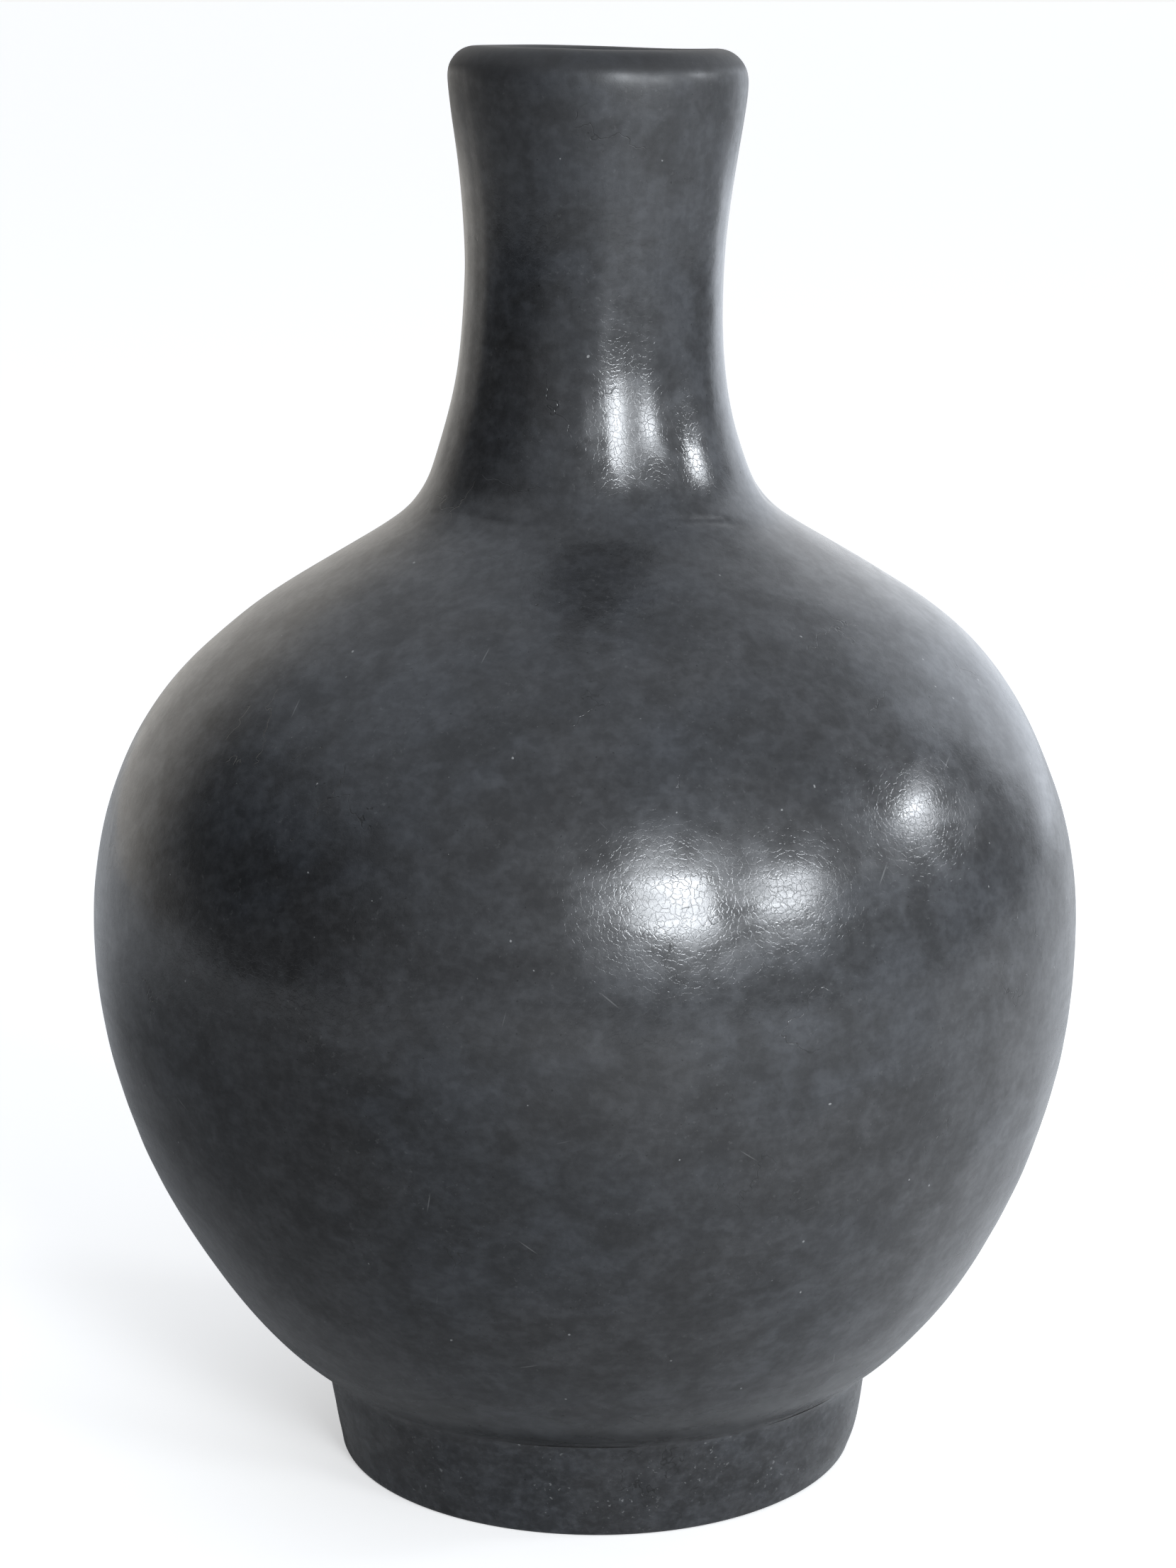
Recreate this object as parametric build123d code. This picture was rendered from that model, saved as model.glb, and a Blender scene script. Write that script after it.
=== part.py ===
from build123d import *
import os
from math import cos, radians, sin

# A hand-built black clay bottle vase: a foot ring, a bowl, four belly and shoulder
# coils, two neck coils and a rolled lip, each fired on to the next.
# The pot's axis is Z, and it stands on the plane Z = 0 with its axis at the origin.
# Every band is drawn as a flat section in the XZ plane, (radius, height), and turned
# once round the axis. All sizes are in millimetres.

# ---- overall sizes -----------------------------------------------------------------
belly_radius = 104.7    # widest radius of the belly
belly_height = 116.0    # height of that widest place above the table
body_height = 208.0     # height of the crease where the neck rises from the shoulder
neck_length = 92.0      # from that crease to the top of the lip

# ---- foot ring -----------------------------------------------------------------------
foot_radius = 56.4      # outer radius on the table
foot_height = 22.0      # height of the crease between the foot and the bowl
foot_flare = 3.6        # how far the foot widens from the table to the crease
foot_wall = 11.0        # thickness of the ring on the table
foot_rounding = 1.0     # rounded edges of the ring on the table

# ---- wall ------------------------------------------------------------------------------
wall = 6.8              # thickness of the belly and the shoulder
floor_thickness = 9.0   # thickness of the bowl's flat bottom
recess = 12.0           # height of the bowl's flat bottom above the table
flat_margin = 13.0      # from the inside of the foot ring in to the edge of that flat
floor_smoothing = 3.0   # how much smaller the flat is inside, where the wall curves up
bowl_angle = 28.0       # slope of the wall where it leaves the foot, from level
shoulder_angle = 145.0  # slope of the shoulder where it reaches the neck, from level

# ---- neck ------------------------------------------------------------------------------
root_flare = 8.7        # how much wider the crease under the neck is than the neck
root_smoothing = 7.5    # how far the smoothed crease runs up the neck and down the shoulder
neck_angle = 110.0      # slope of the neck just above the crease, from level
throat_radius = 19.5    # straight bore of the neck
neck_wall = 7.0         # thickness of the neck at its narrowest
waist_height = 46.0     # height of the narrowest place above the crease
throat_start = 28.0     # height above the crease where the straight bore begins

# ---- lip -------------------------------------------------------------------------------
lip_thickness = 11.0    # thickness of the rolled lip, from the bore to the outside
lip_drop = 6.4          # from the top of the lip down to its widest place
crest_offset = 4.9      # from the bore out to the circle along the top of the lip
throat_drop = 8.0       # from the top of the lip down to the straight bore

# ---- joints between the coils ----------------------------------------------------------
# Each coil's edge was cut on a slope and pressed on to the one below. These are the
# places where the joints meet the outside, and how far they lean from square.
bowl_top = 60.0         # top of the bowl, above the table
shoulder_drop = 43.0    # from the crease under the neck down to the foot of the shoulder
neck_joint = 42.0       # top of the lower neck coil, above the crease
lip_joint = 14.0        # from the top of the lip down to the neck's top edge
scarf_lean = 35.0       # lean of the pressed joints, away from square to the wall
joint_reach = 6.0       # how far each cutting line runs beyond the wall

pot_height = body_height + neck_length
lip_height = pot_height - lip_drop
neck_radius = throat_radius + neck_wall
root_radius = neck_radius + root_flare
lip_radius = throat_radius + lip_thickness
crest_radius = throat_radius + crest_offset
crease_radius = foot_radius + foot_flare
inner_foot_radius = foot_radius - foot_wall
flat_radius = inner_foot_radius - flat_margin
beyond = 2 * belly_radius   # clear of every outside surface


def at(radius, height):
    return Vector(radius, 0, height)


def along(angle, length=1.0):
    return Vector(cos(radians(angle)), 0, sin(radians(angle))) * length


def inset(point, angle, thickness):
    """The point that lies a wall's thickness inside a point of the outline."""
    return point + along(angle + 90, thickness)


def stretch(start, start_angle, end, end_angle, start_pull, end_pull):
    """A smooth curve that leaves and arrives at given slopes. Each pull is a share of
    the straight distance between the ends."""
    span = (end - start).length
    return Bezier(
        start,
        start + along(start_angle, start_pull * span),
        end - along(end_angle, end_pull * span),
        end,
    )


def filled(edges):
    return make_face(Wire(edges))


def polygon(*points):
    return make_face(Polyline(*points, close=True))


# ---- places on the outline, from the foot to the lip -------------------------------------
crease = at(crease_radius, foot_height)
belly = at(belly_radius, belly_height)
root = at(root_radius, body_height)
shoulder_end = root - along(shoulder_angle, root_smoothing)
neck_start = root + along(neck_angle, root_smoothing)
waist = at(neck_radius, body_height + waist_height)
lip = at(lip_radius, lip_height)
crest = at(crest_radius, pot_height)

inner_belly = inset(belly, 90, wall)
inner_shoulder_end = inset(shoulder_end, shoulder_angle, wall)
throat_bottom = at(throat_radius, body_height + throat_start)
throat_top = at(throat_radius, pot_height - throat_drop)

# Both sides of the upper belly and the shoulder share these pulls, so the wall keeps its
# thickness between the places above.
high_pulls = (0.56, 0.24)

underside = stretch(at(flat_radius, recess), 0, crease, bowl_angle, 0.35, 0.35)
outside = [
    underside,
    stretch(crease, bowl_angle, belly, 90, 0.20, 0.42),
    stretch(belly, 90, shoulder_end, shoulder_angle, *high_pulls),
    Bezier(shoulder_end, root, neck_start),
    stretch(neck_start, neck_angle, waist, 90, 0.35, 0.43),
    stretch(waist, 90, lip, 90, 0.41, 0.16),
    stretch(lip, 90, crest, 180, 0.41, 0.41),
]
floor_height = recess + floor_thickness
inner_flat = at(flat_radius - floor_smoothing, floor_height)
inside = [
    stretch(crest, 180, throat_top, 270, 0.45, 0.45),
    Line(throat_top, throat_bottom),
    stretch(throat_bottom, 270, inner_shoulder_end, shoulder_angle + 180, 0.45, 0.30),
    stretch(inner_shoulder_end, shoulder_angle + 180, inner_belly, 270,
            high_pulls[1], high_pulls[0]),
    stretch(inner_belly, 270, inner_flat, 180, 0.33, 0.37),
]
whole_wall = filled([
    Line(at(0, recess), at(flat_radius, recess)),
    *outside,
    *inside,
    Line(inner_flat, at(0, floor_height)),
    Line(at(0, floor_height), at(0, recess)),
])


# ---- cutting the wall into its coils -----------------------------------------------------
def above(height, lean):
    """Everything over the joint that meets the outside at a height. The joint leans
    down, on its way out, from square to the wall, and it ends just past the wall."""
    level = Line(at(0, height), at(beyond, height))
    edge, hit = max(
        ((edge, point) for edge in outside[1:] for point in edge.find_intersection_points(level)),
        key=lambda found: found[1].X,
    )
    tangent = edge.tangent_at(hit)
    outward = Vector(tangent.Z, 0, -tangent.X).rotate(Axis.Y, lean)
    outer = hit + outward * joint_reach
    inner = hit - outward * (joint_reach + wall / cos(radians(lean)))
    top = pot_height + joint_reach
    return polygon(outer, at(beyond, outer.Z), at(beyond, top), at(0, top),
                   at(0, inner.Z), inner)


# The joint in the crease under the neck runs square to the wall, because it shows there
# as a sharp line. The others are scarfed and smoothed over.
regions = [
    above(bowl_top, scarf_lean),
    above(belly_height, scarf_lean),
    above(body_height - shoulder_drop, scarf_lean),
    above(body_height, 0),
    above(body_height + neck_joint, scarf_lean),
    above(pot_height - lip_joint, scarf_lean),
]
names = ["base_bowl", "lower_belly_coil", "upper_belly_coil", "shoulder_coil",
         "lower_neck_coil", "upper_neck_coil", "lip_coil"]

sections = {}
rest = whole_wall
for name, region in zip(names, regions):
    sections[name] = rest - region
    rest = rest & region
sections[names[-1]] = rest

# The foot ring fills the corner under the bowl, and its top is the bowl's own underside.
foot_outline = FilletPolyline(
    at(inner_foot_radius, foot_height),
    at(inner_foot_radius, 0),
    at(foot_radius, 0),
    crease,
    radius=foot_rounding,
)
foot_top = Line(crease, at(inner_foot_radius, foot_height))
foot_block = filled([*foot_outline.edges(), foot_top])
sections["foot_ring"] = foot_block - whole_wall

os.makedirs("parts", exist_ok=True)
for name, section in sections.items():
    band = revolve(section, Axis.Z, 360)
    export_step(band, f"parts/{name}.step")
    print(name, round(band.volume), len(band.solids()))
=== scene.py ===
import math
import bpy
import numpy as np
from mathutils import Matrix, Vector


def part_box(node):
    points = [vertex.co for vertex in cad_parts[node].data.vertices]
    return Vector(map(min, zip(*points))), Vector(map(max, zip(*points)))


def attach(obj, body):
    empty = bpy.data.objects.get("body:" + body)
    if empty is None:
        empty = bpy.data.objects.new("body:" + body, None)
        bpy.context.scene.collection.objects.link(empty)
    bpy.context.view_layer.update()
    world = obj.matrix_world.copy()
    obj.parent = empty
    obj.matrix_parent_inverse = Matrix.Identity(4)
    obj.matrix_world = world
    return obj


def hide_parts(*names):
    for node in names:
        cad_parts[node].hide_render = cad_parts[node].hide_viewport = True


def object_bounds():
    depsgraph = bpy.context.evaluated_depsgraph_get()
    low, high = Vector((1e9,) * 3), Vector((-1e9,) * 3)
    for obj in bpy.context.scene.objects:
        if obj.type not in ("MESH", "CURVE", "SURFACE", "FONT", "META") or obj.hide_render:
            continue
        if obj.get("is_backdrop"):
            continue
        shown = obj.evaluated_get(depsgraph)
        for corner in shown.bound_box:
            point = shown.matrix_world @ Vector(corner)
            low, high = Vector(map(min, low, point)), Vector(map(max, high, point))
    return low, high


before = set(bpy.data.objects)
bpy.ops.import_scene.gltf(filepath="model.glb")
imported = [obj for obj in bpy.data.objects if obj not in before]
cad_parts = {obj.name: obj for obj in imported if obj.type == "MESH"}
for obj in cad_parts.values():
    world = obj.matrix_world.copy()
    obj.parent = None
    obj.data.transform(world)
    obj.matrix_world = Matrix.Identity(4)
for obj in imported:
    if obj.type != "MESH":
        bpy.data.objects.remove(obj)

# A black clay bottle vase, coiled by hand and burnished with a stone. Metres, +Z up.
# Every coil is a mesh of its own, spun from one drawn section of the pot. The
# unevenness that hands leave is worked out for the whole pot, so it runs on from one
# coil into the next and the seams close.

mm = 0.001
cadLow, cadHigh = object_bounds()


def nodeLow(node):
    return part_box(node)[0].z


def nodeHigh(node):
    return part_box(node)[1].z


def nodeRadius(node):
    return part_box(node)[1].x


# sizes the frame gives, then the thicknesses and slopes of the wall
pot = {
    "height": cadHigh.z,
    "bellyRadius": cadHigh.x,
    "bellyHeight": nodeLow("upper_belly_coil"),
    "rootHeight": nodeHigh("shoulder_coil"),
    "lipRadius": nodeRadius("lip_coil"),
    "footHeight": nodeHigh("foot_ring"),
    "creaseRadius": nodeRadius("foot_ring"),
    "recess": nodeLow("base_bowl"),
    "footFlare": 3.6 * mm,
    "footWall": 11.0 * mm,
    "footRounding": 0.8 * mm,
    "footSmoothing": 4.0 * mm,
    "footCornerWidth": 0.5 * mm,
    "flatMargin": 13.0 * mm,
    "floorRounding": 3.0 * mm,
    "floorThickness": 9.0 * mm,
    "wall": 6.8 * mm,
    "lipThickness": 11.0 * mm,
    "crestOffset": 4.9 * mm,
    "lipDrop": 6.4 * mm,
    "throatDrop": 8.0 * mm,
    "neckWall": 7.0 * mm,
    "waistAboveRoot": 46.0 * mm,
    "throatAboveRoot": 28.0 * mm,
    "rootFlare": 8.7 * mm,
    "rootSmoothing": 7.5 * mm,
    "bowlAngle": 28.0,
    "bowlTurn": 3.0,
    "shoulderAngle": 145.0,
    "neckAngle": 110.0,
}
pot["throatRadius"] = pot["lipRadius"] - pot["lipThickness"]
pot["rootRadius"] = pot["throatRadius"] + pot["neckWall"] + pot["rootFlare"]
pot["floorHeight"] = pot["recess"] + pot["floorThickness"]
pot["footInside"] = pot["creaseRadius"] - pot["footFlare"] - pot["footWall"]
pot["flatRadius"] = pot["footInside"] - pot["flatMargin"]
print("frame loaded: %.0f mm tall, %.0f mm across" % (cadHigh.z / mm, 2 * cadHigh.x / mm))


# the section is drawn with points (radius, height) and slopes in degrees from level
def heading(angle):
    return np.array([math.cos(math.radians(angle)), math.sin(math.radians(angle))])


def stretch(start, startAngle, end, endAngle, startPull, endPull, count=400):
    start, end = np.array(start), np.array(end)
    span = np.linalg.norm(end - start)
    a = start + heading(startAngle) * span * startPull
    b = end - heading(endAngle) * span * endPull
    t = np.linspace(0, 1, count)[:, None]
    return (1 - t) ** 3 * start + 3 * t * (1 - t) ** 2 * a + 3 * t * t * (1 - t) * b + t ** 3 * end


def bend(start, middle, end, count=60):
    start, middle, end = np.array(start), np.array(middle), np.array(end)
    t = np.linspace(0, 1, count)[:, None]
    return (1 - t) ** 2 * start + 2 * t * (1 - t) * middle + t * t * end


def straight(start, end, count=60):
    return np.linspace(np.array(start), np.array(end), count)


def joined(*parts):
    line = np.concatenate(parts)
    moves = np.linalg.norm(np.diff(line, axis=0), axis=1) > 1e-7
    return line[np.concatenate([[True], moves])]


# how strongly each curve of the section holds its slope, at its start and at its end
pulls = {
    "bowl": (0.17, 0.42),
    "shoulder": (0.56, 0.24),
    "root": (0.35, 0.43),
    "neck": (0.41, 0.16),
    "lip": (0.41, 0.41),
    "mouth": (0.45, 0.45),
    "throat": (0.45, 0.30),
    "innerShoulder": (0.24, 0.56),
    "innerBowl": (0.33, 0.37),
    "underside": (0.35, 0.35),
}


def potLines(p):
    top, root = p["height"], np.array([p["rootRadius"], p["rootHeight"]])
    crease = np.array([p["creaseRadius"], p["footHeight"]])
    corner = np.array([p["creaseRadius"] - p["footFlare"], 0])
    footUp = (crease - corner) / np.linalg.norm(crease - corner)
    belly = np.array([p["bellyRadius"], p["bellyHeight"]])
    shoulderEnd = root - heading(p["shoulderAngle"]) * p["rootSmoothing"]
    neckStart = root + heading(p["neckAngle"]) * p["rootSmoothing"]
    waist = [p["throatRadius"] + p["neckWall"], p["rootHeight"] + p["waistAboveRoot"]]
    lip = [p["lipRadius"], top - p["lipDrop"]]
    crest = [p["throatRadius"] + p["crestOffset"], top]
    throatTop = [p["throatRadius"], top - p["throatDrop"]]
    throatEnd = [p["throatRadius"], p["rootHeight"] + p["throatAboveRoot"]]
    innerShoulder = shoulderEnd + heading(p["shoulderAngle"] + 90) * p["wall"]
    innerBelly = belly - np.array([p["wall"], 0])
    innerFloor = [p["flatRadius"] - p["floorRounding"], p["floorHeight"]]
    roundFoot, softFoot = p["footRounding"], p["footSmoothing"]
    footEnd = crease - footUp * softFoot
    bowlStart = crease + heading(p["bowlAngle"]) * softFoot
    outer = joined(
        straight([p["footInside"] + roundFoot, 0], corner - [roundFoot, 0]),
        bend(corner - [roundFoot, 0], corner, corner + footUp * roundFoot),
        straight(corner + footUp * roundFoot, footEnd),
        bend(footEnd, crease, bowlStart),
        stretch(bowlStart, p["bowlAngle"] + p["bowlTurn"], belly, 90, *pulls["bowl"]),
        stretch(belly, 90, shoulderEnd, p["shoulderAngle"], *pulls["shoulder"]),
        bend(shoulderEnd, root, neckStart),
        stretch(neckStart, p["neckAngle"], waist, 90, *pulls["root"]),
        stretch(waist, 90, lip, 90, *pulls["neck"]),
        stretch(lip, 90, crest, 180, *pulls["lip"]),
    )
    inner = joined(
        stretch(crest, 180, throatTop, 270, *pulls["mouth"]),
        straight(throatTop, throatEnd),
        stretch(throatEnd, 270, innerShoulder, p["shoulderAngle"] + 180, *pulls["throat"]),
        stretch(innerShoulder, p["shoulderAngle"] + 180, innerBelly, 270, *pulls["innerShoulder"]),
        stretch(innerBelly, 270, innerFloor, 180, *pulls["innerBowl"]),
        straight(innerFloor, [0, p["floorHeight"]]),
    )
    seat = 0.25 * footEnd + 0.5 * crease + 0.25 * bowlStart  # the middle of the bend at the crease
    under = joined(
        straight([0, p["recess"]], [p["flatRadius"], p["recess"]]),
        stretch([p["flatRadius"], p["recess"]], 0, seat, p["bowlAngle"], *pulls["underside"]),
    )
    return outer, inner, under


outerLine, innerLine, underLine = potLines(pot)
wallLine = joined(outerLine, innerLine)


def lengthAlong(line):
    return np.concatenate([[0], np.cumsum(np.linalg.norm(np.diff(line, axis=0), axis=1))])


def pointAt(line, along):
    length = lengthAlong(line)
    return np.stack([np.interp(along, length, line[:, i]) for i in (0, 1)], 1)


def reach(line, axis, value, last=False):
    # how far along the line it first, or last, meets a radius (0) or a height (1)
    across = line[:, axis] - value
    hits = np.nonzero(across[:-1] * across[1:] <= 0)[0]
    i = hits[-1] if last else hits[0]
    length = lengthAlong(line)
    share = across[i] / (across[i] - across[i + 1])
    return length[i] + share * (length[i + 1] - length[i])


outerLength = lengthAlong(outerLine)[-1]
rootAlong = reach(outerLine, 1, pot["rootHeight"], last=True)
cornerAlong = reach(outerLine, 0, pot["creaseRadius"] - pot["footFlare"] - pot["footCornerWidth"])
print("section drawn: the wall is %.0f mm from foot to lip" % (outerLength / mm))


# the marks that hands leave, with depths and lengths in metres and angles in degrees,
# from +X round to +Y
hands = {
    # how far the pot stands off its axis, the height where it does so most, and the spread
    "drifts": [(-2.75 * mm, 118 * mm, 62 * mm), (-1.15 * mm, 222 * mm, 20 * mm),
               (-0.4 * mm, 248 * mm, 14 * mm), (0.5 * mm, 8 * mm, 12 * mm)],
    "mouthTilt": 1.25,
    "tiltBelowTop": (45 * mm, 8 * mm),
    # depth, length and seed of each kind of wave, and how it is drawn out
    "swell": (0.13 * mm, 60 * mm, 11),
    "roll": (0.05 * mm, 26 * mm, 12),
    "flutes": (0.022 * mm, 6.5 * mm, 13),
    "fluteGrain": (1, 1, 0.08),
    "flutesAboveRoot": (2 * mm, 16 * mm),
    "flutesBelowTop": (9 * mm, 4 * mm),
    "belts": (0.014 * mm, 10 * mm, 14),
    "beltGrain": (0.25, 0.25, 1),
    "beltsBelowRoot": 12 * mm,
    "fingers": (0.30 * mm, 16 * mm, 15),
    "fingerGrain": (0.2, 0.2, 1),
    "fingersInNeck": 0.12,
    "fingersAboveRoot": (-10 * mm, 20 * mm),
    # the crease under the neck, and the low bead of clay above it
    "creaseDepth": 0.30 * mm,
    "creaseWidth": 1.1 * mm,
    "creaseWander": 0.8 * mm,
    "bead": (0.6, 2.5 * mm, 1.5 * mm),
    # height, distance below the top and width
    "lipEdge": (0.07 * mm, 4.0 * mm, 1.3 * mm),
    # how long each goes on before it changes, and its seed
    "creaseStrays": (22 * mm, 21),
    "creaseRagged": (35 * mm, 22),
    "lipRagged": (18 * mm, 23),
    # depth, the angle where it is most, the spread and the width
    "wear": (0.8 * mm, -14.0, 40.0, 4.0 * mm),
    # where the outside's marks turn into the inside's, and where all marks fade out
    "pastLip": (-1 * mm, 7 * mm),
    "fromTable": (0.5 * mm, 8 * mm),
    "fromAxis": 12 * mm,
}
# thumb dents in the outside, and swellings where the depth is negative: angle, and then
# height, size and depth in millimetres
dents = [
    (-2, 209, 3.0, 0.35), (178, 290, 2.5, 0.40), (0, 153, 22, 1.00), (0, 118, 20, -0.30),
    (180, 100, 30, 0.50), (0, 78, 18, -0.75), (180, 46, 22, -0.30), (-128, 152, 11, 0.16),
    (-64, 88, 9, 0.14), (-97, 47, 8, 0.15), (40, 120, 16, 0.30), (95, 150, 18, 0.35),
    (150, 80, 15, 0.30), (215, 60, 14, 0.22), (-40, 245, 6, 0.12),
    (-68, 156, 30, 0.74), (-68, 104, 30, -0.74), (-72, 232, 12, -0.12), (-72, 212, 12, 0.12),
    (-42, 218, 3.0, -0.05), (-45, 158, 20, 0.38), (-45, 128, 20, -0.38), (-72, 288.5, 9, -0.40),
]


def waves(points, length, seed, grain=(1, 1, 1), count=40):
    # the sum of many plane waves of about one length, with a spread of about 1
    random = np.random.default_rng(seed)
    turns = random.normal(size=(count, 3))
    turns /= np.linalg.norm(turns, axis=1)[:, None]
    turns *= 2 * math.pi / length * random.uniform(0.6, 1.5, (count, 1)) * np.array(grain)
    starts = random.uniform(0, 2 * math.pi, count)
    total = np.zeros(points.shape[:-1])
    for turn, start in zip(turns, starts):
        total += np.cos(points @ turn + start)
    return total / math.sqrt(count / 2)


def ripple(points, mark, grain=(1, 1, 1)):
    depth, length, seed = mark
    return depth * waves(points, length, seed, grain)


def raggedness(points, length, seed):
    # changes round the pot and not up it
    return waves(points, length, seed, grain=(1, 1, 0))


def hill(value, centre, width):
    return np.exp(-((value - centre) / width) ** 2)


def rise(value, low, high):
    t = np.clip((value - low) / (high - low), 0, 1)
    return t * t * (3 - 2 * t)


def onWall(angle, height):
    # the point of the outside wall at an angle and a height
    radius = pointAt(outerLine, [reach(outerLine, 1, height, last=True)])[0, 0]
    turn = math.radians(angle)
    return np.array([radius * math.cos(turn), radius * math.sin(turn), height])


def outsidePush(points, along):
    root, top = pot["rootHeight"], pot["height"]
    z = points[..., 2]
    low, high = hands["flutesAboveRoot"]
    onNeck = rise(z, root + low, root + high)
    low, high = hands["flutesBelowTop"]
    onNeck *= 1 - rise(z, top - low, top - high)
    onBelly = 1 - rise(z, root - hands["beltsBelowRoot"], root)
    push = ripple(points, hands["swell"])
    push += ripple(points, hands["roll"])
    push += onNeck * ripple(points, hands["flutes"], hands["fluteGrain"])
    push += onBelly * ripple(points, hands["belts"], hands["beltGrain"])
    # the neck was set on the shoulder, and the joint was never quite rubbed away
    strays = hands["creaseWander"] * raggedness(points, *hands["creaseStrays"])
    ragged = 0.5 + 0.5 * raggedness(points, *hands["creaseRagged"])
    deep = hands["creaseDepth"] * np.clip(ragged, 0.05, 1.4)
    fromRoot = along[:, None] - rootAlong - strays
    push -= deep * hill(fromRoot, 0, hands["creaseWidth"])
    share, above, width = hands["bead"]
    push += share * deep * hill(fromRoot, above, width)
    # the edge where the rolled lip turns over
    height, down, width = hands["lipEdge"]
    ragged = np.clip(0.7 + 0.4 * raggedness(points, *hands["lipRagged"]), 0, 1.5)
    fromEdge = along[:, None] - reach(outerLine, 1, top - down, last=True)
    push += height * ragged * hill(fromEdge, 0, width)
    for angle, level, size, depth in dents:
        away = np.linalg.norm(points - onWall(angle, level * mm), axis=-1)
        push -= depth * mm * hill(away, 0, size * mm)
    return push


def footWear(angle, along):
    # one side of the foot's lower edge is rubbed rounder than the other
    depth, middle, spread, width = hands["wear"]
    off = np.abs((np.degrees(angle) - middle + 180) % 360 - 180)
    return depth * hill(off, 0, spread)[None, :] * hill(along, cornerAlong, width)[:, None]


def insidePush(points):
    root, least = pot["rootHeight"], hands["fingersInNeck"]
    low, high = hands["fingersAboveRoot"]
    belly = 1 - rise(points[..., 2], root + low, root + high)
    return (least + (1 - least) * belly) * ripple(points, hands["fingers"], hands["fingerGrain"])


def settled(points):
    # the pot leans a little at the belly, and its mouth isn't quite level
    z = points[..., 2]
    moved = points.copy()
    for distance, height, spread in hands["drifts"]:
        moved[..., 0] += distance * hill(z, height, spread)
    tilt = math.tan(math.radians(hands["mouthTilt"]))
    low, high = hands["tiltBelowTop"]
    moved[..., 2] -= tilt * points[..., 0] * rise(z, pot["height"] - low, pot["height"] - high)
    return moved


# how close the points of the meshes are
spacing = {
    "around": 720,
    "outside": 0.95 * mm,
    "inside": 3.2 * mm,
    "foot": 0.8 * mm,
    "lip": 0.45 * mm,
    "crease": 0.4 * mm,
    "creaseReach": 5 * mm,
    "slope": 0.05 * mm,
    "beyondEnd": 0.2 * mm,
    "fromAxis": 0.6 * mm,
}
around = spacing["around"]
angles = np.arange(around) * 2 * math.pi / around
columns = np.arange(around)
following = (columns + 1) % around


def spun(line, along):
    # rows of points round the axis, one row for each distance along the line
    at, step = pointAt(line, along), spacing["slope"]
    slope = pointAt(line, along + step) - pointAt(line, along - step)
    slope /= np.maximum(np.linalg.norm(slope, axis=1), 1e-9)[:, None]
    cosines, sines, level = np.cos(angles), np.sin(angles), np.zeros(around)
    points = np.stack([at[:, :1] * cosines, at[:, :1] * sines, at[:, 1:] + level], 2)
    outward = np.stack([slope[:, 1:] * cosines, slope[:, 1:] * sines, level - slope[:, :1]], 2)
    if line is wallLine:
        low, high = hands["pastLip"]
        over = rise(along, outerLength + low, outerLength + high)[:, None]
        push = outsidePush(points, along) * (1 - over) + insidePush(points) * over
        push *= rise(at[:, 1], *hands["fromTable"])[:, None] * rise(at[:, 0], 0, hands["fromAxis"])[:, None]
        push -= footWear(angles, along)
        points = points + outward * push[..., None]
    return settled(points)


def rowNormals(grid):
    # the first and last rows of the grid are only there to give the others their slope
    sideways = np.roll(grid, -1, 1) - np.roll(grid, 1, 1)
    normals = np.cross(sideways[1:-1], grid[2:] - grid[:-2])
    return normals / np.maximum(np.linalg.norm(normals, axis=2), 1e-12)[..., None]


def rowsBetween(start, end, step, creases=()):
    # distances along a line, closer together beside a crease or a corner
    trial = np.linspace(start, end, 3000)
    near = np.zeros(trial.shape)
    for crease in creases:
        near = np.maximum(near, hill(trial, crease, spacing["creaseReach"]))
    size = step + (spacing["crease"] - step) * near
    done = np.concatenate([[0], np.cumsum(np.abs(np.diff(trial)) / (0.5 * (size[1:] + size[:-1])))])
    count = max(2, int(math.ceil(done[-1])) + 1)
    return np.interp(np.linspace(0, done[-1], count), done, trial)


def ringOfQuads(low, high):
    return np.stack([low + columns, low + following, high + following, high + columns], 1)


def middleFans(positions):
    # one fan of triangles closes the middle of the underside, another the middle of the floor
    count = len(positions)
    tips = np.stack([positions[:around].mean(0), positions[-around:].mean(0)])
    below = np.stack([columns, following, np.full(around, count)], 1)[:, ::-1]
    lastRow = count - around
    above = np.stack([lastRow + columns, lastRow + following, np.full(around, count + 1)], 1)
    facing = np.repeat([[0, 0, -1], [0, 0, 1]], 3 * around, 0)
    return np.concatenate([positions, tips]), np.concatenate([below, above]), facing


def meshFrom(name, positions, quads, fans, numbers, normals):
    mesh = bpy.data.meshes.new(name)
    corners = np.concatenate([quads.ravel(), fans.ravel()])
    mesh.vertices.add(len(positions))
    mesh.vertices.foreach_set("co", positions.astype(np.float32).ravel())
    mesh.loops.add(len(corners))
    mesh.loops.foreach_set("vertex_index", corners.astype(np.int32))
    firsts = np.concatenate([np.arange(len(quads)) * 4, len(quads) * 4 + np.arange(len(fans)) * 3])
    mesh.polygons.add(len(firsts))
    mesh.polygons.foreach_set("loop_start", firsts.astype(np.int32))
    mesh.polygons.foreach_set("material_index", numbers.astype(np.int32))
    mesh.polygons.foreach_set("use_smooth", np.ones(len(firsts), bool))
    mesh.update(calc_edges=True)
    mesh.normals_split_custom_set(normals.astype(np.float32))
    return mesh


rubbed, bare = 0, 1  # places in a coil's list of materials


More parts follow.
